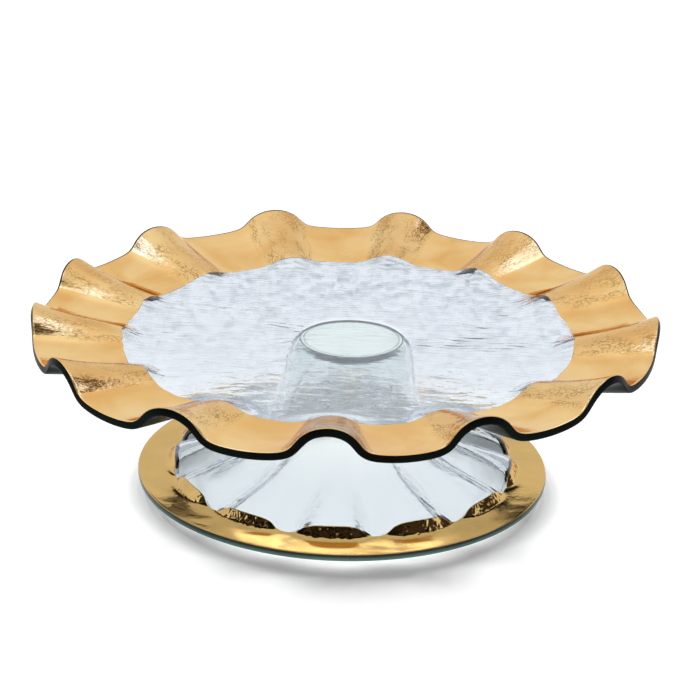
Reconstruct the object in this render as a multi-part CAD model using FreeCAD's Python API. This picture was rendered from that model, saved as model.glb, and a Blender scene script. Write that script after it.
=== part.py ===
import FreeCAD
import Part
import math
import os

from FreeCAD import Vector

# Cake stand of bent sheet glass: a ruffled plate bonded on a pleated, bell-shaped pedestal.
# Row frame: +Z up, -Y towards the front, origin on the table under the middle of the brim.
# Lengths are in millimetres and angles in degrees. A turn is counted from the front (-Y)
# towards +X.

# ---- driving dimensions -------------------------------------------------------------------
PLATE_RADIUS = 178.0          # to the ruffled rim, so the plate is 356 mm (14 in) across
PLATE_GLASS = 4.5             # sheet thickness of the plate
PLATE_TOP = 84.0              # height of the flat top face that the cake stands on
PLATE_FLAT_RADIUS = 112.0     # the flat face ends and the ruffles begin
PLATE_GOLD_RADIUS = 130.0     # inner edge of the plate's gold band
RUFFLES = 13
RIM_RISE = 11.3               # mean height of the rim above the flat face
CREST_FOOT_RISE = 2.6         # extra height of each ruffle's crest near its inner end
CREST_FOOT = (116.0, 130.0, 170.0)  # radii where that extra height starts, peaks and ends

PEDESTAL_RADIUS = 120.0       # to the edge of the flat brim
PEDESTAL_GLASS = 4.0          # sheet thickness of the pedestal
PLEATS = 13
NECK_LEAN = 3.5               # the slumped neck stands this far to +X of the brim's middle

BOND_THICKNESS = 0.3          # cured clear adhesive between pedestal and plate
BOND_RADIUS = 30.0
GOLD_THICKNESS = 0.25         # solid that stands for each fired gold film
EDGE_SOFTENING = 0.9          # how far the ground glass edges are rounded back

# ---- one ruffle ---------------------------------------------------------------------------
# Cosine terms of the rim's height over one ruffle: crest at 0, trough at 180 degrees.
RUFFLE_HEIGHT = (6.8, 2.1, 0.4)
# Sine terms of the sideways shift that steepens the walls between crest and trough.
RUFFLE_SHIFT = (0.65, 2.4, 0.9)

# ---- bell of the pedestal: (radius, height) of its outer surface --------------------------
# Neck, shared by lobes and grooves: from the bonding face down to where the pleats begin.
NECK_PROFILE = (
    (27.0, 79.2), (31.0, 79.2), (34.2, 76.6), (36.4, 69.0), (38.2, 58.0), (40.8, 47.0),
)
# Along the crest of a lobe, which ends in a steep little wall above the brim.
LOBE_PROFILE = (
    (45.5, 37.0), (54.5, 29.0), (67.0, 23.4), (80.0, 19.4), (92.0, 14.9), (97.9, 11.9),
    (99.9, 9.5), (101.7, 7.0), (103.5, 4.4), (108.0, 4.0),
)
# Along the bottom of a groove, which runs out softly into the brim.
GROOVE_PROFILE = (
    (44.5, 36.0), (52.5, 26.5), (64.5, 18.0), (77.0, 11.8), (88.0, 7.6), (98.4, 5.3),
    (99.2, 4.9), (100.0, 4.6), (101.2, 4.3), (107.0, 4.0),
)
# Flat brim, up to the softened edge.
BRIM_PROFILE = ((113.5, 4.0), (119.1, 4.0))
BELL_ROWS = len(NECK_PROFILE + LOBE_PROFILE + BRIM_PROFILE)
BELL_GOLD_ROW = 11            # the gold band begins at this point of the whole profile
LOBE_BREADTH = (1.1, 2.8)     # up the bell and at its foot; above 1 the grooves are narrow
LOBE_ROWS = (8, 11)           # the points of the profile between which it changes

# ---- unevenness of hand-bent glass: (waves per turn, amplitude, phase) ---------------------
RUFFLE_SPACING = ((0, 0.2, 90.0), (1, 3.5, -73.0), (2, 0.95, -162.0), (3, 1.5, 129.0))
RUFFLE_STRENGTH = ((1, 0.09, 75.0),)
RIM_TILT = ((1, 1.2, -56.0), (2, 1.4, -16.0))
RIM_OVAL = ((2, 1.55, 165.0),)
PLEAT_SPACING = ((0, -2.7, 90.0), (1, 2.4, -5.0))
LOBE_STRENGTH = ((2, 0.08, 40.0), (5, 0.06, 10.0))

# ---- surface building ---------------------------------------------------------------------
PER_WAVE = 12                 # rows of the surface around, for each ruffle or pleat
PLATE_ROW_STEP = 6.0          # radial distance between rows in the ruffled band
SLOPE_STEP = 0.05             # small distance over which a slope is measured


def sin_deg(angle):
    return math.sin(math.radians(angle))


def cos_deg(angle):
    return math.cos(math.radians(angle))


def drift(terms, turn):
    """Slow unevenness around the object."""
    return sum(size * sin_deg(waves * turn + phase) for waves, size, phase in terms)


def polar(radius, turn, height):
    return Vector(radius * sin_deg(turn), -radius * cos_deg(turn), height)


def growing(share, softness):
    """Rises from 0 to 1 without a kink at 0; a small softness soon makes it straight."""
    return share * share / (share + softness) * (1.0 + softness)


def ramp(value, low, high):
    """Rises smoothly from 0 at low to 1 at high."""
    share = min(1.0, max(0.0, (value - low) / (high - low)))
    return share * share * (3.0 - 2.0 * share)


def turns_around(waves):
    count = waves * PER_WAVE
    return [360.0 * k / count for k in range(count)]


def under_side(surface, position, turn, depth):
    """The point that lies that deep under an upper surface, measured square to it."""
    out = surface(position + SLOPE_STEP, turn) - surface(position - SLOPE_STEP, turn)
    side = surface(position, turn + SLOPE_STEP) - surface(position, turn - SLOPE_STEP)
    down = side.cross(out)
    down.normalize()
    return surface(position, turn) + down * depth


# ---- plate --------------------------------------------------------------------------------
def plate_top(radius, turn):
    """The plate's upper surface, from the flat face to the rim."""
    share = max(0.0, (radius - PLATE_FLAT_RADIUS) / (PLATE_RADIUS - PLATE_FLAT_RADIUS))
    wave = growing(share, 0.15)
    around = turn + drift(RUFFLE_SPACING, turn)
    phase = RUFFLES * turn
    height = sum(a * cos_deg((k + 1) * phase) for k, a in enumerate(RUFFLE_HEIGHT))
    shift = sum(a * sin_deg((k + 1) * phase) for k, a in enumerate(RUFFLE_SHIFT))
    rise = growing(share, 1.0) * (RIM_RISE + drift(RIM_TILT, around))
    rise += wave * height * (1.0 + drift(RUFFLE_STRENGTH, around))
    start, top, end = CREST_FOOT
    foot = ramp(radius, start, top) * (1.0 - ramp(radius, top, end))
    rise += CREST_FOOT_RISE * foot * (0.5 + 0.5 * cos_deg(phase)) ** 2
    outward = radius + wave * drift(RIM_OVAL, around)
    sideways = math.degrees(wave * shift / PLATE_RADIUS)
    return polar(outward, around + sideways, PLATE_TOP + rise)


def plate_rows():
    """Rows of points around the plate: upper surface, edge, underside."""
    turns = turns_around(RUFFLES)
    steps = int(round((PLATE_RADIUS - PLATE_FLAT_RADIUS) / PLATE_ROW_STEP))
    radii = [PLATE_FLAT_RADIUS + k * PLATE_ROW_STEP for k in range(steps)]
    radii += [PLATE_RADIUS - 2.6 * EDGE_SOFTENING, PLATE_RADIUS - EDGE_SOFTENING]
    depths = [
        0.0,
        EDGE_SOFTENING,
        PLATE_GLASS / 2.0,
        PLATE_GLASS - EDGE_SOFTENING,
        PLATE_GLASS,
    ]
    stations = [(radius, 0.0) for radius in radii]
    stations += [(PLATE_RADIUS, depth) for depth in depths]
    stations += [(radius, PLATE_GLASS) for radius in reversed(radii[1:])]
    rows = [[under_side(plate_top, r, turn, depth) for turn in turns] for r, depth in stations]
    rows.append([point - Vector(0.0, 0.0, PLATE_GLASS) for point in rows[0]])
    return rows, len(radii)


# ---- pedestal -----------------------------------------------------------------------------
def bell_profile(row, crest, uneven):
    """Point of the profile, between the groove (crest = 0) and the lobe (crest = 1)."""
    breadth = LOBE_BREADTH[0] + (LOBE_BREADTH[1] - LOBE_BREADTH[0]) * ramp(row, *LOBE_ROWS)
    lobe = (1.0 - (1.0 - crest) ** breadth) * uneven
    row = min(max(row, 0), BELL_ROWS - 1)
    high = (NECK_PROFILE + LOBE_PROFILE + BRIM_PROFILE)[row]
    low = (NECK_PROFILE + GROOVE_PROFILE + BRIM_PROFILE)[row]
    return [a + (b - a) * lobe for a, b in zip(low, high)]


def bell_top(position, turn):
    """The pedestal's outer surface, where position runs along the points of the profile."""
    around = turn + drift(PLEAT_SPACING, turn)
    crest = 0.5 + 0.5 * cos_deg(PLEATS * turn)
    uneven = 1.0 + drift(LOBE_STRENGTH, around)
    start = int(math.floor(position))
    share = position - start
    near = [bell_profile(start + k, crest, uneven) for k in (-1, 0, 1, 2)]
    mixed = []
    for a, b, c, d in zip(*near):
        bend = (2.0 * a - 5.0 * b + 4.0 * c - d) * share ** 2
        twist = (3.0 * b - a - 3.0 * c + d) * share ** 3
        mixed.append(b + 0.5 * ((c - a) * share + bend + twist))
    radius, height = mixed
    raised = (height - PEDESTAL_GLASS) / (NECK_PROFILE[0][1] - PEDESTAL_GLASS)
    lean = NECK_LEAN * min(1.0, max(0.0, raised)) ** 0.7
    return polar(radius, around, height) + Vector(lean, 0.0, 0.0)


def brim_ring(radius, height):
    """Row of points around the brim."""
    return [polar(radius, t + drift(PLEAT_SPACING, t), height) for t in turns_around(PLEATS)]


def bell_outer_rows():
    """Rows of points around the pedestal: outer surface, then the edge of the brim."""
    turns = turns_around(PLEATS)
    rows = [[bell_top(row, turn) for turn in turns] for row in range(BELL_ROWS)]
    for height in (
        PEDESTAL_GLASS,
        PEDESTAL_GLASS - EDGE_SOFTENING,
        PEDESTAL_GLASS / 2.0,
        EDGE_SOFTENING,
        0.0,
    ):
        rows.append(brim_ring(PEDESTAL_RADIUS, height))
    rows.append(brim_ring(PEDESTAL_RADIUS - EDGE_SOFTENING, 0.0))
    return rows


def bell_inner_rows():
    """Rows around the underside: from the flat ring under the brim up into the neck."""
    turns = turns_around(PLEATS)
    rows = [brim_ring(BRIM_PROFILE[0][0], 0.0)]
    for row in range(BELL_ROWS - len(BRIM_PROFILE) - 1, 0, -1):
        rows.append([under_side(bell_top, row, turn, PEDESTAL_GLASS) for turn in turns])
    neck_end = [bell_top(0, turn) for turn in turns]
    rows.append([point - Vector(0.0, 0.0, PEDESTAL_GLASS) for point in neck_end])
    return rows


# ---- solids -------------------------------------------------------------------------------
def poles_through(points):
    """Poles of the closed cubic curve that passes through the points."""
    count = len(points)
    poles = list(points)
    for _ in range(24):
        poles = [
            poles[k] + points[k]
            - (poles[k - 1] + poles[k] * 4.0 + poles[(k + 1) % count]) * (1.0 / 6.0)
            for k in range(count)
        ]
    return poles


def ring_surface(rows):
    """Cubic surface over rows of points: closed around, open from the first row to the last."""
    rows = [poles_through(row) for row in rows]
    around = len(rows[0])
    spans = len(rows) - 3
    surface = Part.BSplineSurface()
    surface.buildFromPolesMultsKnots(
        [[row[k] for row in rows] for k in range(around)],
        [1] * (around + 1),
        [4] + [1] * (spans - 1) + [4],
        [float(k) for k in range(around + 1)],
        [float(k) for k in range(spans + 1)],
        True,
        False,
        3,
        3,
    )
    return surface


def outward_solid(shape):
    if shape.Volume < 0:
        shape.reverse()
    return shape


def sheet_solid(*surfaces):
    """Glass sheet: ring surfaces, with flat faces in and between their first and last rows."""
    skins = [surface.toShape() for surface in surfaces]
    rims = {}
    for skin in skins:
        for edge in skin.Edges:
            if edge.isClosed() and edge.Length > 1.0:
                rims.setdefault(round(edge.Vertexes[0].Z, 3), []).append(Part.Wire([edge]))
    caps = [Part.makeFace(wires, "Part::FaceMakerBullseye") for wires in rims.values()]
    shell = Part.makeShell(skins + caps)
    shell.sewShape()
    return outward_solid(Part.makeSolid(shell))


def gold_solid(surface, first, last):
    """Film on the strip of a ring surface between two of its rows."""
    strip = surface.copy()
    low, high, _, _ = surface.bounds()
    strip.segment(low, high, first - 1.0, last - 1.0)
    return outward_solid(strip.toShape().extrude(Vector(0.0, 0.0, GOLD_THICKNESS)))


def bond_solid():
    """Disc of clear adhesive that holds the plate on the pedestal."""
    base = Vector(NECK_LEAN, 0.0, PLATE_TOP - PLATE_GLASS - BOND_THICKNESS)
    return Part.makeCylinder(BOND_RADIUS, BOND_THICKNESS, base)


rows, plate_top_rows = plate_rows()
plate_surface = ring_surface(rows)
plate_gold_row = int(round((PLATE_GOLD_RADIUS - PLATE_FLAT_RADIUS) / PLATE_ROW_STEP))
bell_surface = ring_surface(bell_outer_rows())
bell_underside = ring_surface(bell_inner_rows())

nodes = {
    "plate_glass": sheet_solid(plate_surface),
    "plate_gold_band": gold_solid(plate_surface, plate_gold_row, plate_top_rows - 1),
    "bond_film": bond_solid(),
    "pedestal_glass": sheet_solid(bell_surface, bell_underside),
    "pedestal_gold_band": gold_solid(bell_surface, BELL_GOLD_ROW, BELL_ROWS - 1),
}

os.makedirs("parts", exist_ok=True)
for name, shape in nodes.items():
    shape.exportStep("parts/%s.step" % name)
    box = shape.BoundBox
    print(
        name, "valid" if shape.isValid() else "NOT VALID", "volume", round(shape.Volume),
        "low", [round(v, 2) for v in (box.XMin, box.YMin, box.ZMin)],
        "high", [round(v, 2) for v in (box.XMax, box.YMax, box.ZMax)],
    )
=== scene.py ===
import math

import bpy
import numpy as np
from mathutils import Matrix, Vector


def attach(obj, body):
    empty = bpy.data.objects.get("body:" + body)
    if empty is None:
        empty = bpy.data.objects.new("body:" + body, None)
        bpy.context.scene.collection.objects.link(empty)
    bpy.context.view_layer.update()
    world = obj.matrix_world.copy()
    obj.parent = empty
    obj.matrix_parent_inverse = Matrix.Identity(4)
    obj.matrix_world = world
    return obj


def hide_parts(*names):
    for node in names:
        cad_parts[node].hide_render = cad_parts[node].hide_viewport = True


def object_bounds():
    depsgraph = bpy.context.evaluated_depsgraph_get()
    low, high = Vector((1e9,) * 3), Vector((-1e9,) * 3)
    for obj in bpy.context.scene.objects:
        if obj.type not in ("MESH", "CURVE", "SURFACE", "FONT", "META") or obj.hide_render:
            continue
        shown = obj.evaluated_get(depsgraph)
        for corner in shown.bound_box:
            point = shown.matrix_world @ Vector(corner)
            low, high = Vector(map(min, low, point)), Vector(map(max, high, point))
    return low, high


# Looks of the bent-glass cake stand. The surfaces follow the same formulas as the CAD model,
# with a finer mesh and the relief of the kiln-formed glass. Lengths in the shape functions
# are millimetres and angles are degrees; meshes are scaled to metres when they are made.

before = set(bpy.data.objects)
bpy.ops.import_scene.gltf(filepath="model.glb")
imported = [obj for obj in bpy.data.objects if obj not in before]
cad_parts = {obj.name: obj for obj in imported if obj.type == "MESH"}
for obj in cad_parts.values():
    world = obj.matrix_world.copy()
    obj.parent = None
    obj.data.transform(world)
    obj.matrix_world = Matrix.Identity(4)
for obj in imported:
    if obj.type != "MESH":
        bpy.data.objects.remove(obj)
cad_low, cad_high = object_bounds()

MM = 0.001
ROOT = "root"

# ---- sizes, as in the CAD model -----------------------------------------------------------
PLATE_RADIUS = 178.0
PLATE_GLASS = 4.5
PLATE_TOP = 84.0
PLATE_FLAT_RADIUS = 112.0
PLATE_GOLD_RADIUS = 130.0
RUFFLES = 13
RIM_RISE = 11.3
CREST_FOOT_RISE = 2.6
CREST_FOOT = (116.0, 130.0, 170.0)
PEDESTAL_RADIUS = 120.0
PEDESTAL_GLASS = 4.0
PLEATS = 13
NECK_LEAN = 3.5
BOND_RADIUS = 30.0
BOND_THICKNESS = 0.3
EDGE_SOFTENING = 0.9

RUFFLE_HEIGHT = (6.8, 2.1, 0.4)
RUFFLE_SHIFT = (0.65, 2.4, 0.9)

NECK_PROFILE = (
    (27.0, 79.2), (31.0, 79.2), (34.2, 76.6), (36.4, 69.0), (38.2, 58.0), (40.8, 47.0),
)
LOBE_PROFILE = (
    (45.5, 37.0), (54.5, 29.0), (67.0, 23.4), (80.0, 19.4), (92.0, 14.9), (97.9, 11.9),
    (99.9, 9.5), (101.7, 7.0), (103.5, 4.4), (108.0, 4.0),
)
GROOVE_PROFILE = (
    (44.5, 36.0), (52.5, 26.5), (64.5, 18.0), (77.0, 11.8), (88.0, 7.6), (98.4, 5.3),
    (99.2, 4.9), (100.0, 4.6), (101.2, 4.3), (107.0, 4.0),
)
BRIM_PROFILE = ((113.5, 4.0), (119.1, 4.0))
BELL_GOLD_ROW = 11
LOBE_BREADTH = (1.1, 2.8)
LOBE_ROWS = (8, 11)
LAST_ROW = len(NECK_PROFILE + LOBE_PROFILE + BRIM_PROFILE) - 1

RUFFLE_SPACING = ((0, 0.2, 90.0), (1, 3.5, -73.0), (2, 0.95, -162.0), (3, 1.5, 129.0))
RUFFLE_STRENGTH = ((1, 0.09, 75.0),)
RIM_TILT = ((1, 1.2, -56.0), (2, 1.4, -16.0))
RIM_OVAL = ((2, 1.55, 165.0),)
PLEAT_SPACING = ((0, -2.7, 90.0), (1, 2.4, -5.0))
LOBE_STRENGTH = ((2, 0.08, 40.0), (5, 0.06, 10.0))

# ---- sizes of the finer work --------------------------------------------------------------
GOLD_SKIN = 0.12              # the film's two faces lie this far above and below the glass
SLOPE_STEP = 0.05
FINE = 108                    # mesh rows around, for each ruffle or pleat of a gold band
MEDIUM = 48                   # the same for a glass sheet
GLASS_GRAIN = 0.0003          # depth of the glass's finest grain, in metres
LIP_STEP = 15.0               # angle between the film's rows on the softened edge

# ---- colours ------------------------------------------------------------------------------
PLATE_TINT = (0.70, 0.75, 0.80)
BELL_TINT = (0.70, 0.765, 0.795)
# Painted light: this lighter tint is painted inside the bond's circle, towards the front of the plate and on
# the top of the neck.
PAINTED_LIGHT_TINT = (0.90, 0.94, 0.93)
# Painted shade: the grey streak colours stand for the shading that the kiln relief and the pleats give the
# glass.
PLATE_STREAK_SHADE = (0.30, 0.345, 0.39)
BELL_STREAK_SHADE = (0.66, 0.72, 0.75)
PLATE_GOLD = ((0.89, 0.51, 0.165), (0.99, 0.67, 0.28))      # dark and light clouds
# Painted shade: the brim is the plate's fired gold, painted darker for the darker surroundings that it
# mirrors.
SHADED_BRIM_GOLD = ((0.66, 0.43, 0.15), (0.74, 0.475, 0.165))

# ---- camera -------------------------------------------------------------------------------
CAMERA_ELEVATION = 21.47
CAMERA_DISTANCE = 1.211
CAMERA_LENS = 107.7
CAMERA_ROLL = 1.565
CAMERA_AIM = Vector((0.0028, 0.0, (PLATE_TOP - 8.6) * MM))

# ---- light --------------------------------------------------------------------------------
FLOOR_GLOW = 0.30
DOME = 0.05
BACK_LIGHTS = (-24.0, -14.0, -4.0, 6.0, 16.0)
BACK_LIGHT = 14.5
BACK_LIGHT_ELEVATION = 10.8
BACK_LIGHT_SPREAD = 5.0
BRIM_LIGHT_SIZE = (0.16, 0.10)
BRIM_LIGHT_PLACE = (0.0, 0.30, 0.22)
BRIM_LIGHT = 1.5

# What the gold and the glass mirror. First the level along the arc from the horizon behind
# the object (0) over the zenith (0.5) to the horizon in front of it (1).
ARC = [
    (0.0, (0.92, 1.00, 1.25)), (0.05, (0.94, 1.04, 1.30)), (0.10, (0.90, 0.98, 1.14)),
    (0.14, (0.88, 0.94, 1.06)), (0.20, (0.84, 0.85, 0.92)), (0.25, (0.85, 0.85, 0.90)),
    (0.31, (0.90, 0.91, 0.98)),
    (0.36, (0.95, 1.00, 1.10)), (0.42, (1.00, 1.05, 1.14)), (0.50, (0.98, 1.02, 1.10)),
    (0.56, (1.05, 1.25, 1.60)), (0.62, (0.92, 1.05, 1.20)), (0.69, (0.60, 0.64, 0.72)),
    (0.735, (0.030, 0.018, 0.015)), (0.80, (0.030, 0.018, 0.015)), (0.87, (0.80, 0.82, 0.86)),
    (1.0, (0.86, 0.88, 0.92)),
]
# Then the soft boxes: direction, angles where each ends and is full, brightness.
SOFT_BOXES = (
    ((-0.36, -0.18, 0.91), 20.0, 12.0, (1.50, 1.95, 3.60)),
    ((0.58, 0.16, 0.80), 20.0, 12.0, (1.45, 1.85, 3.20)),
    ((0.61, 0.38, 0.69), 10.0, 3.0, (0.22, 0.16, 0.09)),
    ((0.52, -0.33, 0.79), 19.0, 5.0, (0.12, 0.10, 0.08)),
    ((0.68, -0.42, 0.60), 24.0, 15.0, (0.05, 0.035, 0.03)),
    ((-0.68, -0.42, 0.60), 24.0, 15.0, (0.05, 0.035, 0.03)),
    ((0.87, 0.32, 0.37), 20.0, 12.0, (0.05, 0.035, 0.03)),
)


# ---- shape functions ----------------------------------------------------------------------
def drift(terms, turn):
    """Slow unevenness around the object."""
    return sum(size * np.sin(np.radians(waves * turn + phase)) for waves, size, phase in terms)


def polar(radius, turn, height):
    angle = np.radians(turn)
    return np.stack([radius * np.sin(angle), -radius * np.cos(angle), height], axis=-1)


def growing(share, softness):
    return share * share / (share + softness) * (1.0 + softness)


def smooth(value, low, high):
    share = np.clip((value - low) / (high - low), 0.0, 1.0)
    return share * share * (3.0 - 2.0 * share)


def plate_top(radius, turn):
    """The plate's upper surface; every argument is an array of the same shape."""
    share = np.clip((radius - PLATE_FLAT_RADIUS) / (PLATE_RADIUS - PLATE_FLAT_RADIUS), 0.0, None)
    wave = growing(share, 0.15)
    around = turn + drift(RUFFLE_SPACING, turn)
    phase = np.radians(RUFFLES * turn)
    height = sum(a * np.cos((k + 1) * phase) for k, a in enumerate(RUFFLE_HEIGHT))
    shift = sum(a * np.sin((k + 1) * phase) for k, a in enumerate(RUFFLE_SHIFT))
    rise = growing(share, 1.0) * (RIM_RISE + drift(RIM_TILT, around))
    rise = rise + wave * height * (1.0 + drift(RUFFLE_STRENGTH, around))
    start, top, end = CREST_FOOT
    foot = smooth(radius, start, top) * (1.0 - smooth(radius, top, end))
    rise = rise + CREST_FOOT_RISE * foot * (0.5 + 0.5 * np.cos(phase)) ** 2
    outward = radius + wave * drift(RIM_OVAL, around)
    return polar(outward, around + np.degrees(wave * shift / PLATE_RADIUS), PLATE_TOP + rise)


def bell_top(position, turn):
    """The pedestal's outer surface. Past the profile's last point, position is millimetres."""
    around = turn + drift(PLEAT_SPACING, turn)
    crest = 0.5 + 0.5 * np.cos(np.radians(PLEATS * turn))
    uneven = 1.0 + drift(LOBE_STRENGTH, around)
    high = np.array(NECK_PROFILE + LOBE_PROFILE + BRIM_PROFILE)
    low = np.array(NECK_PROFILE + GROOVE_PROFILE + BRIM_PROFILE)
    inside = np.clip(position, 0.0, LAST_ROW)
    start = np.floor(inside).astype(int)
    share = inside - start
    weights = (
        (1.0 - share) ** 3,
        3.0 * share ** 3 - 6.0 * share ** 2 + 4.0,
        -3.0 * share ** 3 + 3.0 * share ** 2 + 3.0 * share + 1.0,
        share ** 3,
    )
    radius, height = 0.0, 0.0
    for k, weight in enumerate(weights):
        row = start + k - 1
        breadth = LOBE_BREADTH[0] + (LOBE_BREADTH[1] - LOBE_BREADTH[0]) * smooth(row, *LOBE_ROWS)
        lobe = (1.0 - (1.0 - crest) ** breadth) * uneven
        below, above = low[clamped(row)], high[clamped(row)]
        below, above = below + beyond(row, low), above + beyond(row, high)
        point = below + (above - below) * lobe[..., None]
        radius = radius + point[..., 0] * weight / 6.0
        height = height + point[..., 1] * weight / 6.0
    radius = radius + np.clip(position - LAST_ROW, 0.0, None)
    raised = (height - PEDESTAL_GLASS) / (NECK_PROFILE[0][1] - PEDESTAL_GLASS)
    lean = NECK_LEAN * np.clip(raised, 0.0, 1.0) ** 0.7
    point = polar(radius, around, height)
    point[..., 0] += lean
    return point


def clamped(row):
    return np.clip(row, 0, LAST_ROW)


def beyond(row, profile):
    """Carries a profile on in a straight line past both of its ends."""
    after = np.clip(row - LAST_ROW, 0, None)[..., None] * (profile[-1] - profile[-2])
    before = np.clip(-row, 0, None)[..., None] * (profile[0] - profile[1])
    return after + before


def downward(surface, position, turn):
    """Unit vector into the sheet, square to its upper surface."""
    out = surface(position + SLOPE_STEP, turn) - surface(position - SLOPE_STEP, turn)
    side = surface(position, turn + SLOPE_STEP) - surface(position, turn - SLOPE_STEP)
    down = np.cross(side, out)
    return down / np.maximum(np.linalg.norm(down, axis=-1, keepdims=True), 1e-9)


# ---- relief of the kiln-formed glass ------------------------------------------------------
def random_waves(x, y, seed, count, shortest, longest, stretch):
    """Sum of random plane waves, about 1 in size, stretched along x."""
    source = np.random.default_rng(seed)
    total = np.zeros_like(x)
    for _ in range(count):
        angle, start = source.uniform(0.0, math.tau, 2)
        pace = math.tau / source.uniform(shortest, longest)
        total += np.cos(pace * (math.cos(angle) * x / stretch + math.sin(angle) * y) + start)
    return total * math.sqrt(2.0 / count)


def disc_ripple(point):
    """Streaky ripples of the clear middle of the plate."""
    x, y = point[..., 0], point[..., 1]
    bend = 3.0 * random_waves(x, y, 11, 12, 50.0, 120.0, 1.0)
    streaks = random_waves(x, y + bend, 12, 40, 6.0, 13.0, 3.2)
    patches = 0.6 + 0.4 * random_waves(x, y, 13, 12, 40.0, 90.0, 1.4)
    return np.abs(streaks) * np.clip(patches, 0.15, 1.6)


def crest_wrinkle(radius, turn):
    """Fine wrinkles over the crests of the ruffles; none in the troughs."""
    along, across = radius, np.radians(turn) * radius
    crest = smooth(np.cos(np.radians(RUFFLES * turn)), -0.35, 0.75)
    grown = smooth(radius, PLATE_GOLD_RADIUS - 14.0, PLATE_GOLD_RADIUS + 14.0)
    grown = grown * (1.0 - 0.8 * smooth(radius, 168.0, 177.0))
    folds = random_waves(along, across, 21, 60, 2.6, 6.5, 2.0)
    return crest * grown * np.abs(folds)


# ---- meshes -------------------------------------------------------------------------------
def rings_to_object(name, rings, bands, pole_start, pole_end, marks=()):
    """A closed mesh from rings of points. bands gives the material index of each gap, and
    marks are (label, a number or a vector for each point) that the materials read."""
    count, around = rings.shape[0], rings.shape[1]
    points = rings.reshape(-1, 3)
    marks = [(label, values.reshape(count * around, -1)) for label, values in marks]
    low = np.arange(around)
    high = np.roll(low, -1)
    faces = []
    slots = []
    gaps = [(k, k + 1) for k in range(count - 1)]
    if not (pole_start or pole_end):
        gaps.append((count - 1, 0))
    for gap, (a, b) in enumerate(gaps):
        quads = np.stack([a * around + low, b * around + low, b * around + high, a * around + high], 1)
        faces += quads.tolist()
        slots += [bands[gap]] * around
    for ring, is_pole, flip in ((0, pole_start, False), (count - 1, pole_end, True)):
        if is_pole:
            points = np.vstack([points, rings[ring].mean(0)])
            marks = [(label, np.vstack([v, v[ring * around]])) for label, v in marks]
            centre = np.full(around, len(points) - 1)
            edge = [ring * around + low, ring * around + high]
            if flip:
                edge.reverse()
            faces += np.stack([centre, edge[0], edge[1]], 1).tolist()
            slots += [bands[0] if ring == 0 else bands[-1]] * around
    mesh = bpy.data.meshes.new(name)
    mesh.from_pydata((points * MM).tolist(), [], faces)
    mesh.polygons.foreach_set("material_index", slots)
    mesh.polygons.foreach_set("use_smooth", [True] * len(faces))
    for label, values in marks:
        vector = values.shape[1] == 3
        carried = mesh.attributes.new(label, "FLOAT_VECTOR" if vector else "FLOAT", "POINT")
        carried.data.foreach_set("vector" if vector else "value", values.ravel().astype(np.float32))
    mesh.update()
    piece = bpy.data.objects.new(name, mesh)
    bpy.context.scene.collection.objects.link(piece)
    return piece


def edge_arc(start, glass, steps=4):
    """(position, depth) round the edge of a sheet whose top ends at start."""
    corner = [math.radians(90.0 * k / steps) for k in range(1, steps + 1)]
    r = EDGE_SOFTENING
    over = [(start + r * math.sin(t), r * (1.0 - math.cos(t))) for t in corner]
    under = [(position, glass - depth) for position, depth in reversed(over)]
    return over + under


def film_lip(end, rows):
    """(position, depth) of the gold film's upper and lower face on the softened edge."""
    over, under = [], []
    for k in range(1, rows + 1):
        angle = math.radians(LIP_STEP * k)
        for face, skin in ((over, GOLD_SKIN), (under, -GOLD_SKIN)):
            reach = EDGE_SOFTENING + skin
            place = (end + reach * math.sin(angle), EDGE_SOFTENING - reach * math.cos(angle))
            face.append(place)
    return over, under[::-1]


def sheet_points(surface, stations, turns, relief, stray=None):
    """Points of every station: relief(position, turn, upper surface, depth) lifts them."""
    position, turn = grid(stations, turns)
    if stray:
        position = position + stray(position)
    depth = np.array([s[1] for s in stations])[:, None] + np.zeros_like(turns)[None, :]
    top = surface(position, turn)
    down = downward(surface, position, turn)
    lift = relief(position, turn, top, depth)
    return top + down * (depth - lift)[..., None]


def grid(stations, turns):
    """Position and turn of every point of a sheet."""
    position = np.array([s[0] for s in stations])[:, None] + np.zeros_like(turns)[None, :]
    return position, np.zeros_like(position) + turns[None, :]


def spread(low, high, step):
    count = max(1, int(round((high - low) / step)))
    return [low + (high - low) * k / count for k in range(count)]


def turns_around(waves, rows):
    return np.arange(waves * rows) * 360.0 / (waves * rows)


# ---- plate --------------------------------------------------------------------------------
def plate_relief(radius, turn, top, depth):
    """Lift of the plate's surface: wrinkles on top, and ripples that show from both faces."""
    clear = 1.0 - smooth(radius, PLATE_GOLD_RADIUS - 8.0, PLATE_GOLD_RADIUS + 4.0)
    bonded = smooth(np.hypot(top[..., 0] - NECK_LEAN, top[..., 1]), BOND_RADIUS, BOND_RADIUS + 2.5)
    ripple = disc_ripple(top) * clear * bonded
    upper = 0.035 * ripple + 0.05 * crest_wrinkle(radius, turn)
    lower = -0.08 * ripple
    return upper + (lower - upper) * smooth(depth, 0.5, PLATE_GLASS - 0.5)


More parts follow.
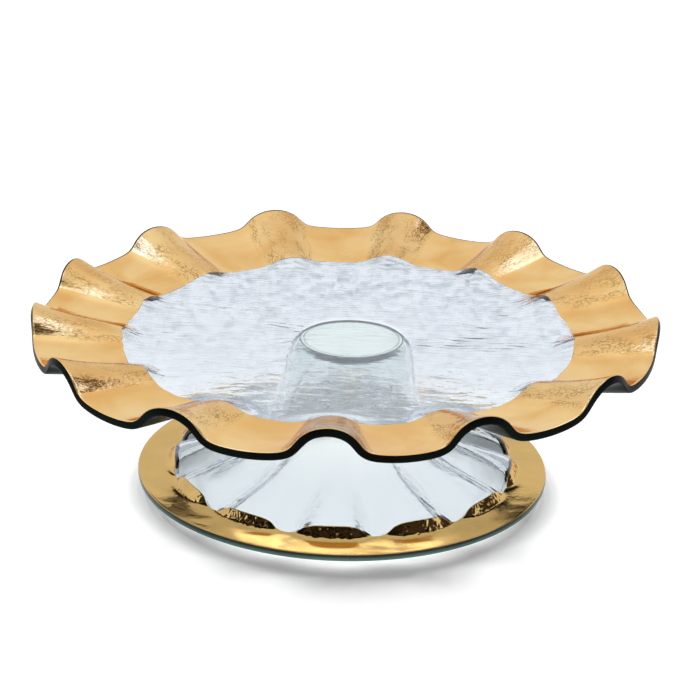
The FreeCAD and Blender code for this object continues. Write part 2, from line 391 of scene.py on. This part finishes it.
def make_plate_glass():
    end = PLATE_RADIUS - EDGE_SOFTENING
    top = [(r, 0.0) for r in spread(2.0, PLATE_FLAT_RADIUS, 1.5)]
    top += [(r, 0.0) for r in spread(PLATE_FLAT_RADIUS, end, 1.3)] + [(end, 0.0)]
    edge = edge_arc(end, PLATE_GLASS)
    under = [(end, PLATE_GLASS)]
    under += [(r, PLATE_GLASS) for r in reversed(spread(2.0, end, 2.6))]
    stations = top + edge + under
    bands = [0] * (len(top) - 2) + [1] * (len(edge) + 2)
    bands += [1 if radius > PLATE_GOLD_RADIUS + 7.0 else 0 for radius, _ in under[1:]]
    turns = turns_around(RUFFLES, MEDIUM)
    rings = sheet_points(plate_top, stations, turns, plate_relief)
    beside_bond = np.hypot(rings[..., 0] - NECK_LEAN, rings[..., 1])
    beside = smooth(beside_bond, BOND_RADIUS + 1.0, BOND_RADIUS + 4.0)
    x, y = rings[..., 0], rings[..., 1]
    bend = 2.5 * random_waves(x, y, 14, 14, 45.0, 140.0, 1.0)
    drawn = np.stack([0.42 * x, y + bend, 0.0 * x], axis=-1) * MM
    # Painted shade: the streaks are painted stronger towards the back of the plate.
    back_shade = 0.30 + 0.30 * smooth(y, -70.0, 10.0) + 0.40 * smooth(y, 10.0, 95.0)
    # Painted light: the glass is painted lighter inside the bond's circle and towards the front.
    painted_lightening = 0.8 * (1.0 - smooth(beside_bond, BOND_RADIUS, BOND_RADIUS + 1.0))
    painted_lightening = np.maximum(painted_lightening, 0.5 * smooth(-y, 40.0, 105.0))
    marks = [("streaks", beside * back_shade), ("painted_lightening", painted_lightening), ("drawn", drawn)]
    return rings_to_object("plate_glass_sheet", rings, bands, True, True, marks)


def gold_edge(turn):
    """How far the hand-laid gold's inner edge strays from its circle."""
    slow = 2.4 * np.cos(np.radians(turn - 85.0)) + 2.2 * np.cos(np.radians(2.0 * turn - 260.0))
    fine = random_waves(np.radians(turn) * PLATE_GOLD_RADIUS, 0.0 * turn, 41, 24, 5.0, 40.0, 1.0)
    return slow - 0.6 + 0.25 * fine


def make_plate_gold():
    end = PLATE_RADIUS - EDGE_SOFTENING
    top = [(PLATE_GOLD_RADIUS, -0.04)]
    top += [(radius, -GOLD_SKIN) for radius in spread(PLATE_GOLD_RADIUS + 0.4, end, 0.8)]
    top += [(end, -GOLD_SKIN)]
    over_lip, under_lip = film_lip(end, 4)
    top += over_lip
    under = under_lip + [(end, GOLD_SKIN)]
    under += [(radius, GOLD_SKIN) for radius in reversed(spread(PLATE_GOLD_RADIUS, end, 4.0))]
    stations = top + under
    bands = [0] * (len(top) - 1) + [1] * (len(under) + 1)
    turns = turns_around(RUFFLES, FINE)
    back = smooth(-np.cos(np.radians(turns)), -0.3, 0.7)

    def stray(radius):
        inner = gold_edge(turns) * (1.0 - smooth(radius, PLATE_GOLD_RADIUS, 150.0))
        return inner - 0.8 * back * smooth(radius, 165.0, end)

    rings = sheet_points(plate_top, stations, turns, plate_relief, stray)
    radius, turn = grid(stations, turns)
    crest = np.cos(np.radians(RUFFLES * turn))
    crackle = smooth(crest, -0.15, 0.45) * (1.0 - 0.55 * smooth(crest, 0.80, 1.0))
    drawn = polar(PLATE_RADIUS + (radius - PLATE_RADIUS) / 2.5, turn, 0.0 * radius) * MM
    marks = [("crest", smooth(crest, -0.1, 0.8)), ("crackle", crackle), ("drawn", drawn)]
    return rings_to_object("plate_gold_film", rings, bands, False, False, marks)


# ---- pedestal -----------------------------------------------------------------------------
def bell_relief(position, turn, top, depth):
    """Lift of the pedestal's surface: soft pebbling of the bell, strongest in the grooves."""
    x, y, z = top[..., 0], top[..., 1], top[..., 2]
    groove = 1.0 - smooth(np.cos(np.radians(PLEATS * turn)), -0.9, 0.5)
    sloping = smooth(position, 2.0, 4.0) * (1.0 - smooth(position, 10.5, 12.5))
    pebble = random_waves(x, y + z, 31, 50, 3.0, 8.0, 1.0)
    swell = random_waves(x, y + z, 32, 16, 22.0, 50.0, 1.0)
    lift = sloping * ((0.015 + 0.05 * groove) * pebble + 0.08 * swell)
    brim = smooth(position, 13.5, 15.0) * (1.0 - smooth(position, 16.3, LAST_ROW))
    brim = brim * (0.15 + 0.85 * smooth(np.cos(np.radians(turn)), 0.72, 0.95))
    lift = lift + 0.10 * brim * random_waves(x, y, 33, 24, 9.0, 24.0, 2.4)
    wall = smooth(position, 11.2, 11.8) * (1.0 - smooth(position, 13.5, 14.5)) * (1.0 - groove)
    lift = lift + 0.11 * wall * np.abs(random_waves(x, y, 34, 40, 2.0, 6.0, 1.0))
    return lift * (1.0 - 0.6 * smooth(depth, 1.0, 3.0))


def make_pedestal_glass():
    top = [(p, 0.0) for p in spread(0.0, LAST_ROW, 0.16)] + [(float(LAST_ROW), 0.0)]
    edge = edge_arc(float(LAST_ROW), PEDESTAL_GLASS)
    under = [(float(LAST_ROW), PEDESTAL_GLASS)]
    under += [(p, PEDESTAL_GLASS) for p in reversed(spread(0.0, LAST_ROW, 0.24))]
    stations = top + edge + under
    bands = [0] * (len(top) - 1) + [1] * (len(edge) + 1) + [0] * (len(under) - 1)
    turns = turns_around(PLEATS, MEDIUM)
    rings = sheet_points(bell_top, stations, turns, bell_relief)
    rings[..., 2] = np.maximum(rings[..., 2], 0.0)
    position, turn = grid(stations, turns)
    # Painted shade: grey streaks along the pleats' grooves, stronger towards the sides of the bell.
    pleat = 1.0 - smooth(np.cos(np.radians(PLEATS * turn)), -1.0, 0.0)
    pleat = pleat * smooth(position, 5.0, 8.0)
    pleat = pleat * (0.3 + 0.4 * smooth(np.abs(np.sin(np.radians(turn))), 0.35, 0.85))
    # Painted light: the top of the neck is painted lighter.
    marks = [("streaks", pleat), ("painted_lightening", 1.0 - smooth(position, 4.0, 8.5)), ("drawn", rings * MM)]
    return rings_to_object("pedestal_glass_bell", rings, bands, True, True, marks)


def make_pedestal_gold():
    end = float(LAST_ROW)
    top = [(BELL_GOLD_ROW, -0.04)]
    top += [(p, -GOLD_SKIN) for p in spread(BELL_GOLD_ROW + 0.05, LAST_ROW, 0.08)]
    top += [(end, -GOLD_SKIN)]
    over_lip, under_lip = film_lip(end, 3)
    top += over_lip
    under = under_lip + [(end, GOLD_SKIN)]
    under += [(p, GOLD_SKIN) for p in reversed(spread(BELL_GOLD_ROW, LAST_ROW, 0.4))]
    stations = top + under
    bands = [0] * (len(top) - 1) + [1] * (len(under) + 1)
    turns = turns_around(PLEATS, FINE)
    lobe = smooth(np.cos(np.radians(PLEATS * turns)), -1.0, -0.3)

    def stray(position):
        shift = 1.6 - 1.05 * lobe
        return shift * (1.0 - smooth(position, BELL_GOLD_ROW, BELL_GOLD_ROW + 4.5))

    rings = sheet_points(bell_top, stations, turns, bell_relief, stray)
    return rings_to_object("pedestal_gold_film", rings, bands, False, False)


def make_bond():
    """The adhesive disc reaches a hair into both sheets, so that no air shows between them."""
    bite = 0.05
    top = PLATE_TOP - PLATE_GLASS + bite
    bottom = PLATE_TOP - PLATE_GLASS - BOND_THICKNESS - bite
    turns = np.arange(192) * 360.0 / 192
    levels = [(BOND_RADIUS - 0.1, top), (BOND_RADIUS, top - 0.1), (BOND_RADIUS, bottom + 0.1)]
    levels += [(BOND_RADIUS - 0.1, bottom)]
    rings = np.stack([polar(r + 0.0 * turns, turns, z + 0.0 * turns) for r, z in levels])
    rings[..., 0] += NECK_LEAN
    disc = rings_to_object("bond_disc", rings, [0] * 3, True, True)
    disc.data.polygons.foreach_set("use_smooth", [False] * len(disc.data.polygons))
    return disc


# ---- materials ----------------------------------------------------------------------------
def new_material(name):
    material = bpy.data.materials.new(name)
    material.use_nodes = True
    nodes, links = material.node_tree.nodes, material.node_tree.links
    shader = nodes["Principled BSDF"]
    place = nodes.new("ShaderNodeTexCoord")
    return material, nodes, links, shader, place


def noise(nodes, links, place, scale, detail=4.0, stretch=(1.0, 1.0, 1.0)):
    mapping = nodes.new("ShaderNodeMapping")
    mapping.inputs["Scale"].default_value = stretch
    links.new(place.outputs["Object"], mapping.inputs["Vector"])
    return noise_on(nodes, links, mapping.outputs["Vector"], scale, detail)


def noise_on(nodes, links, vector, scale, detail):
    texture = nodes.new("ShaderNodeTexNoise")
    texture.inputs["Scale"].default_value = scale
    texture.inputs["Detail"].default_value = detail
    texture.inputs["Distortion"].default_value = 0.5
    links.new(vector, texture.inputs["Vector"])
    return texture.outputs["Fac"]


def ramp(nodes, links, value, stops):
    node = nodes.new("ShaderNodeValToRGB")
    while len(node.color_ramp.elements) < len(stops):
        node.color_ramp.elements.new(0.5)
    for element, (at, colour) in zip(node.color_ramp.elements, stops):
        element.position = at
        element.color = (*colour, 1.0)
    links.new(value, node.inputs["Fac"])
    return node.outputs["Color"]


def bump(nodes, links, value, distance, strength, below=None):
    node = nodes.new("ShaderNodeBump")
    node.inputs["Distance"].default_value = distance
    node.inputs["Strength"].default_value = strength
    links.new(value, node.inputs["Height"])
    if below is not None:
        links.new(below, node.inputs["Normal"])
    return node.outputs["Normal"]


def grey(value):
    return (value, value, value)


def fired_gold(name, dark, light, crackled):
    material, nodes, links, shader, place = new_material(name)
    cloud = noise(nodes, links, place, 28.0, 3.0)
    colour = ramp(nodes, links, cloud, [(0.36, dark), (0.64, light)])
    shader.inputs["Metallic"].default_value = 1.0
    shader.inputs["Specular Tint"].default_value = (0.85, 0.72, 0.58, 1.0)
    haze = ramp(nodes, links, noise(nodes, links, place, 60.0, 5.0), [(0.3, grey(0.05)), (0.75, grey(0.12))])
    links.new(haze, shader.inputs["Roughness"])
    grain = bump(nodes, links, noise(nodes, links, place, 420.0, 3.0), 0.0002, 0.25)
    if crackled:
        crest = mark(nodes, "crest").outputs["Fac"]
        # The crests are tinted a darker tan.
        crest_tan = maths(nodes, links, "MULTIPLY", crest, 0.30)
        colour = blend_colours(nodes, links, crest_tan, colour, (0.66, 0.44, 0.20))
        lines = crackle_lines(nodes, links)
        colour = blend_colours(nodes, links, lines, colour, (0.50, 0.29, 0.10))
        fibre = noise_on(nodes, links, mark(nodes, "drawn").outputs["Vector"], 520.0, 3.0)
        fibre = maths(nodes, links, "MULTIPLY", fibre, mark(nodes, "crackle").outputs["Fac"])
        grain = bump(nodes, links, fibre, 0.0006, 0.35, grain)
        grain = bump(nodes, links, lines, 0.0004, -0.5, grain)
    links.new(colour, shader.inputs["Base Color"])
    links.new(grain, shader.inputs["Normal"])
    return material


def crackle_lines(nodes, links):
    """Fine wandering lines where the gold is creased along the crests: 1 on a line."""
    drawn = mark(nodes, "drawn").outputs["Vector"]
    bend = nodes.new("ShaderNodeTexNoise")
    bend.inputs["Scale"].default_value = 160.0
    links.new(drawn, bend.inputs["Vector"])
    shift = nodes.new("ShaderNodeVectorMath")
    shift.operation = "MULTIPLY_ADD"
    links.new(bend.outputs["Color"], shift.inputs[0])
    shift.inputs[1].default_value = (0.006, 0.006, 0.006)
    links.new(drawn, shift.inputs[2])
    cells = nodes.new("ShaderNodeTexVoronoi")
    cells.feature = "DISTANCE_TO_EDGE"
    cells.inputs["Scale"].default_value = 720.0
    links.new(shift.outputs["Vector"], cells.inputs["Vector"])
    line = span(nodes, links, cells.outputs["Distance"], 0.15, 0.03)
    some = span(nodes, links, noise_on(nodes, links, drawn, 130.0, 2.0), 0.42, 0.58)
    where = maths(nodes, links, "MULTIPLY", some, mark(nodes, "crackle").outputs["Fac"])
    return maths(nodes, links, "MULTIPLY", line, where)


def mark(nodes, label):
    """Reads a mark that the mesh carries."""
    node = nodes.new("ShaderNodeAttribute")
    node.attribute_name = label
    return node


def maths(nodes, links, operation, first, second):
    node = nodes.new("ShaderNodeMath")
    node.operation = operation
    for value, socket in ((first, node.inputs[0]), (second, node.inputs[1])):
        if isinstance(value, float):
            socket.default_value = value
        else:
            links.new(value, socket)
    return node.outputs[0]


def span(nodes, links, value, low, high, start=0.0, end=1.0):
    """Goes smoothly from start at low to end at high, where low may be above high."""
    node = nodes.new("ShaderNodeMapRange")
    node.interpolation_type = "SMOOTHSTEP"
    rising = low < high
    node.inputs["From Min"].default_value = low if rising else high
    node.inputs["From Max"].default_value = high if rising else low
    node.inputs["To Min"].default_value = start if rising else end
    node.inputs["To Max"].default_value = end if rising else start
    links.new(value, node.inputs["Value"])
    return node.outputs["Result"]


def gold_back():
    material, nodes, links, shader, place = new_material("gold_underside")
    cloud = noise(nodes, links, place, 40.0, 4.0)
    colour = ramp(nodes, links, cloud, [(0.3, (0.012, 0.006, 0.010)), (0.7, (0.032, 0.014, 0.020))])
    links.new(colour, shader.inputs["Base Color"])
    haze = ramp(nodes, links, cloud, [(0.3, grey(0.25)), (0.7, grey(0.45))])
    links.new(haze, shader.inputs["Roughness"])
    return material


def clear_glass(name, tint, streak_shade_tint):
    """Clear glass that lets the lamps through. The shading of its kiln marks is painted as thin grey
    streaks where the mesh is marked for them, and it is painted lighter where the mesh says so."""
    material, nodes, links, shader, place = new_material(name)
    drawn = mark(nodes, "drawn").outputs["Vector"]
    thin = noise_on(nodes, links, drawn, 300.0, 2.0)
    broad = noise_on(nodes, links, drawn, 95.0, 3.0)
    # The streaks and broad patches are painted shade.
    streak = span(nodes, links, thin, 0.51, 0.62)
    shade = span(nodes, links, broad, 0.45, 0.64)
    streak = maths(nodes, links, "MULTIPLY", streak, 0.72)
    shade = maths(nodes, links, "MULTIPLY", shade, 0.28)
    both = maths(nodes, links, "ADD", streak, shade)
    where = maths(nodes, links, "MULTIPLY", both, mark(nodes, "streaks").outputs["Fac"])
    # Painted light: a lighter tint where the mesh marks it.
    clear = blend_colours(nodes, links, mark(nodes, "painted_lightening").outputs["Fac"], tint, PAINTED_LIGHT_TINT)
    colour = blend_colours(nodes, links, where, clear, streak_shade_tint)
    links.new(colour, shader.inputs["Base Color"])
    shader.inputs["Transmission Weight"].default_value = 1.0
    shader.inputs["IOR"].default_value = 1.5
    haze = ramp(nodes, links, noise(nodes, links, place, 90.0, 4.0), [(0.35, grey(0.0)), (0.8, grey(0.03))])
    links.new(haze, shader.inputs["Roughness"])
    fine = noise(nodes, links, place, 160.0, 3.0, (0.35, 1.0, 1.0))
    links.new(bump(nodes, links, fine, GLASS_GRAIN, 0.5), shader.inputs["Normal"])
    let_lamps_through(nodes, links, shader)
    return material


def let_lamps_through(nodes, links, shader):
    path = nodes.new("ShaderNodeLightPath")
    clear = nodes.new("ShaderNodeBsdfTransparent")
    clear.inputs["Color"].default_value = (0.95, 0.95, 0.95, 1.0)
    mix = nodes.new("ShaderNodeMixShader")
    links.new(path.outputs["Is Shadow Ray"], mix.inputs["Fac"])
    links.new(shader.outputs["BSDF"], mix.inputs[1])
    links.new(clear.outputs["BSDF"], mix.inputs[2])
    links.new(mix.outputs["Shader"], nodes["Material Output"].inputs["Surface"])


def dark_edge():
    material, nodes, links, shader, place = new_material("ground_edge_under_gold")
    cloud = noise(nodes, links, place, 22.0, 3.0)
    colour = ramp(nodes, links, cloud, [(0.35, (0.004, 0.003, 0.003)), (0.75, (0.005, 0.014, 0.011))])
    links.new(colour, shader.inputs["Base Color"])
    shader.inputs["Roughness"].default_value = 0.3
    shader.inputs["Specular IOR Level"].default_value = 0.02
    grain = bump(nodes, links, noise(nodes, links, place, 500.0, 2.0), 0.0002, 0.2)
    links.new(grain, shader.inputs["Normal"])
    return material


def teal_edge():
    """The brim's edge: black under the gold film, then blue-green through the glass."""
    material, nodes, links, shader, place = new_material("ground_edge_of_brim")
    split = nodes.new("ShaderNodeSeparateXYZ")
    links.new(place.outputs["Object"], split.inputs["Vector"])
    height = nodes.new("ShaderNodeMapRange")
    height.inputs["From Min"].default_value = 0.0
    height.inputs["From Max"].default_value = PEDESTAL_GLASS * MM
    links.new(split.outputs["Z"], height.inputs["Value"])
    colour = ramp(nodes, links, height.outputs["Result"], [
        (0.0, (0.16, 0.30, 0.26)), (0.45, (0.07, 0.17, 0.14)),
        (0.62, (0.03, 0.08, 0.065)), (0.74, (0.004, 0.005, 0.004)),
    ])
    links.new(colour, shader.inputs["Base Color"])
    haze = ramp(nodes, links, noise(nodes, links, place, 90.0, 3.0), [(0.3, grey(0.12)), (0.7, grey(0.25))])
    links.new(haze, shader.inputs["Roughness"])
    let_lamps_through(nodes, links, shader)
    return material


def clear_adhesive():
    """Its rim and the edge of the neck's flat face show as two thin grey-green circles of painted shade in
    its colour.
    """
    material, nodes, links, shader, place = new_material("clear_adhesive")
    away = nodes.new("ShaderNodeVectorMath")
    away.operation = "DISTANCE"
    flat = nodes.new("ShaderNodeVectorMath")
    flat.operation = "MULTIPLY"
    flat.inputs[1].default_value = (1.0, 1.0, 0.0)
    links.new(place.outputs["Object"], flat.inputs[0])
    links.new(flat.outputs["Vector"], away.inputs[0])
    away.inputs[1].default_value = (NECK_LEAN * MM, 0.0, 0.0)
    share = maths(nodes, links, "DIVIDE", away.outputs["Value"], BOND_RADIUS * MM)
    # The line colour is painted shade at the adhesive's rim and at the edge of the neck's flat face.
    clear, line = (1.0, 1.0, 1.0), (0.22, 0.30, 0.29)
    colour = ramp(nodes, links, share, [
        (0.0, clear), (0.900, clear), (0.915, line), (0.93, clear), (0.965, clear), (0.985, line),
    ])
    links.new(colour, shader.inputs["Base Color"])
    shader.inputs["Transmission Weight"].default_value = 1.0
    shader.inputs["IOR"].default_value = 1.48
    haze = ramp(nodes, links, noise(nodes, links, place, 70.0, 3.0), [(0.4, grey(0.0)), (0.8, grey(0.02))])
    links.new(haze, shader.inputs["Roughness"])
    let_lamps_through(nodes, links, shader)
    return material


# ---- stage --------------------------------------------------------------------------------
def make_camera():
    tilt, roll = math.radians(CAMERA_ELEVATION), math.radians(CAMERA_ROLL)
    ahead = Vector((0.0, math.cos(tilt), -math.sin(tilt)))
    right = Vector((1.0, 0.0, 0.0))
    up = Vector((0.0, math.sin(tilt), math.cos(tilt)))
    across = right * math.cos(roll) + up * math.sin(roll)
    upward = up * math.cos(roll) - right * math.sin(roll)
    data = bpy.data.cameras.new("camera")
    data.lens = CAMERA_LENS
    data.sensor_width = 36.0
    data.clip_start, data.clip_end = 0.05, 50.0
    camera = bpy.data.objects.new("camera", data)
    turned = Matrix((across, upward, -ahead)).transposed()
    camera.matrix_world = Matrix.Translation(CAMERA_AIM - ahead * CAMERA_DISTANCE) @ turned.to_4x4()
    bpy.context.scene.collection.objects.link(camera)
    bpy.context.scene.camera = camera


def make_floor():
    """Backlit white table: it glows by itself, and a low light from behind adds the shadow."""
    half = 6.0
    mesh = bpy.data.meshes.new("floor")
    corners = [(-half, -half), (half, -half), (half, half), (-half, half)]
    mesh.from_pydata([(x, y, cad_low.z - 0.0003) for x, y in corners], [], [(0, 1, 2, 3)])
    floor = bpy.data.objects.new("floor", mesh)
    bpy.context.scene.collection.objects.link(floor)
    material, nodes, links, shader, place = new_material("floor_white")
    shader.inputs["Base Color"].default_value = (0.90, 0.90, 0.90, 1.0)
    shader.inputs["Roughness"].default_value = 1.0
    shader.inputs["Specular IOR Level"].default_value = 0.0
    shader.inputs["Emission Color"].default_value = (1.0, 1.0, 1.0, 1.0)
    shader.inputs["Emission Strength"].default_value = FLOOR_GLOW
    mesh.materials.append(material)
    return floor


def make_studio(floor, foot):
    """White dome for the light, and a studio of panels for what the gold and glass mirror."""
    world = bpy.data.worlds.new("studio")
    bpy.context.scene.world = world
    world.use_nodes = True
    nodes, links = world.node_tree.nodes, world.node_tree.links
    shader = nodes["Background"]
    place = nodes.new("ShaderNodeTexCoord")
    split = nodes.new("ShaderNodeSeparateXYZ")
    links.new(place.outputs["Generated"], split.inputs["Vector"])
    angle = nodes.new("ShaderNodeMath")
    angle.operation = "ARCTAN2"
    links.new(split.outputs["Z"], angle.inputs[0])
    links.new(split.outputs["Y"], angle.inputs[1])
    over = nodes.new("ShaderNodeMapRange")
    over.inputs["From Max"].default_value = math.pi
    links.new(angle.outputs[0], over.inputs["Value"])
    mirrored = ramp(nodes, links, over.outputs["Result"], ARC)
    for direction, outer, inner, colour in SOFT_BOXES:
        aim = nodes.new("ShaderNodeVectorMath")
        aim.operation = "DOT_PRODUCT"
        aim.inputs[1].default_value = Vector(direction).normalized()
        links.new(place.outputs["Generated"], aim.inputs[0])
        edge = nodes.new("ShaderNodeMapRange")
        edge.interpolation_type = "SMOOTHSTEP"
        edge.inputs["From Min"].default_value = math.cos(math.radians(outer))
        edge.inputs["From Max"].default_value = math.cos(math.radians(inner))
        links.new(aim.outputs["Value"], edge.inputs["Value"])
        mirrored = blend_colours(nodes, links, edge.outputs["Result"], mirrored, colour)
    path = nodes.new("ShaderNodeLightPath")
    seen = blend_colours(nodes, links, path.outputs["Is Reflection Ray"], (1.0, 1.0, 1.0), mirrored)
    level = blend_colours(nodes, links, path.outputs["Diffuse Depth"], seen, grey(DOME))
    links.new(level, shader.inputs["Color"])

    only_floor = bpy.data.collections.new("lit_by_back_lights")
    only_floor.objects.link(floor)
    foot_pieces = bpy.data.collections.new("shades_the_floor")
    for piece in foot:
        foot_pieces.objects.link(piece)
    tilt = math.radians(BACK_LIGHT_ELEVATION)
    for azimuth in BACK_LIGHTS:
        lamp = bpy.data.lights.new("back_light", "SUN")
        lamp.energy = BACK_LIGHT / len(BACK_LIGHTS)
        lamp.angle = math.radians(BACK_LIGHT_SPREAD)
        back = bpy.data.objects.new("back_light", lamp)
        side = math.radians(azimuth)
        aim = Vector((math.sin(side), math.cos(side), math.tan(tilt)))
        back.rotation_euler = aim.to_track_quat("Z", "Y").to_euler()
        bpy.context.scene.collection.objects.link(back)
        back.light_linking.receiver_collection = only_floor
        back.light_linking.blocker_collection = foot_pieces
        back.visible_glossy = False
    make_brim_light(foot[1])
    bpy.context.scene.view_settings.view_transform = "Standard"


def make_brim_light(brim):
    """A soft panel behind the object that the front of the gold brim mirrors."""
    across, high = BRIM_LIGHT_SIZE
    lamp = bpy.data.lights.new("brim_light", "AREA")
    lamp.shape = "RECTANGLE"
    lamp.size, lamp.size_y = across, high
    lamp.energy = math.pi * across * high * BRIM_LIGHT
    lamp.cycles.use_multiple_importance_sampling = False
    panel = bpy.data.objects.new("brim_light", lamp)
    panel.location = BRIM_LIGHT_PLACE
    panel.rotation_euler = Vector((0.0, 1.0, 0.5)).to_track_quat("Z", "Y").to_euler()
    panel.visible_camera = False
    bpy.context.scene.collection.objects.link(panel)
    only_brim = bpy.data.collections.new("lit_by_brim_light")
    only_brim.objects.link(brim)
    panel.light_linking.receiver_collection = only_brim


def blend_colours(nodes, links, factor, first, second):
    """Colour that goes from first to second; each is a socket or a plain colour."""
    mix = nodes.new("ShaderNodeMix")
    mix.data_type = "RGBA"
    links.new(factor, mix.inputs["Factor"])
    for colour, socket in ((first, mix.inputs["A"]), (second, mix.inputs["B"])):
        if isinstance(colour, tuple):
            socket.default_value = (*colour, 1.0)
        else:
            links.new(colour, socket)
    return mix.outputs["Result"]


# ---- assembly -----------------------------------------------------------------------------
def dress(piece, materials, node):
    for material in materials:
        piece.data.materials.append(material)
    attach(piece, ROOT)
    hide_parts(node)


gold_under = gold_back()
plate_gold = fired_gold("fired_gold", *PLATE_GOLD, True)
# The brim's gold is painted darker as shade.
shaded_brim_gold = fired_gold("fired_gold_brim_painted_shade", *SHADED_BRIM_GOLD, False)
plate_glass = clear_glass("plate_glass", PLATE_TINT, PLATE_STREAK_SHADE)
bell_glass = clear_glass("bell_glass", BELL_TINT, BELL_STREAK_SHADE)
dress(make_plate_glass(), [plate_glass, dark_edge()], "plate_glass")
dress(make_plate_gold(), [plate_gold, gold_under], "plate_gold_band")
dress(make_bond(), [clear_adhesive()], "bond_film")
foot_glass, foot_gold = make_pedestal_glass(), make_pedestal_gold()
dress(foot_glass, [bell_glass, teal_edge()], "pedestal_glass")
dress(foot_gold, [shaded_brim_gold, gold_under], "pedestal_gold_band")
make_camera()
make_studio(make_floor(), (foot_glass, foot_gold))
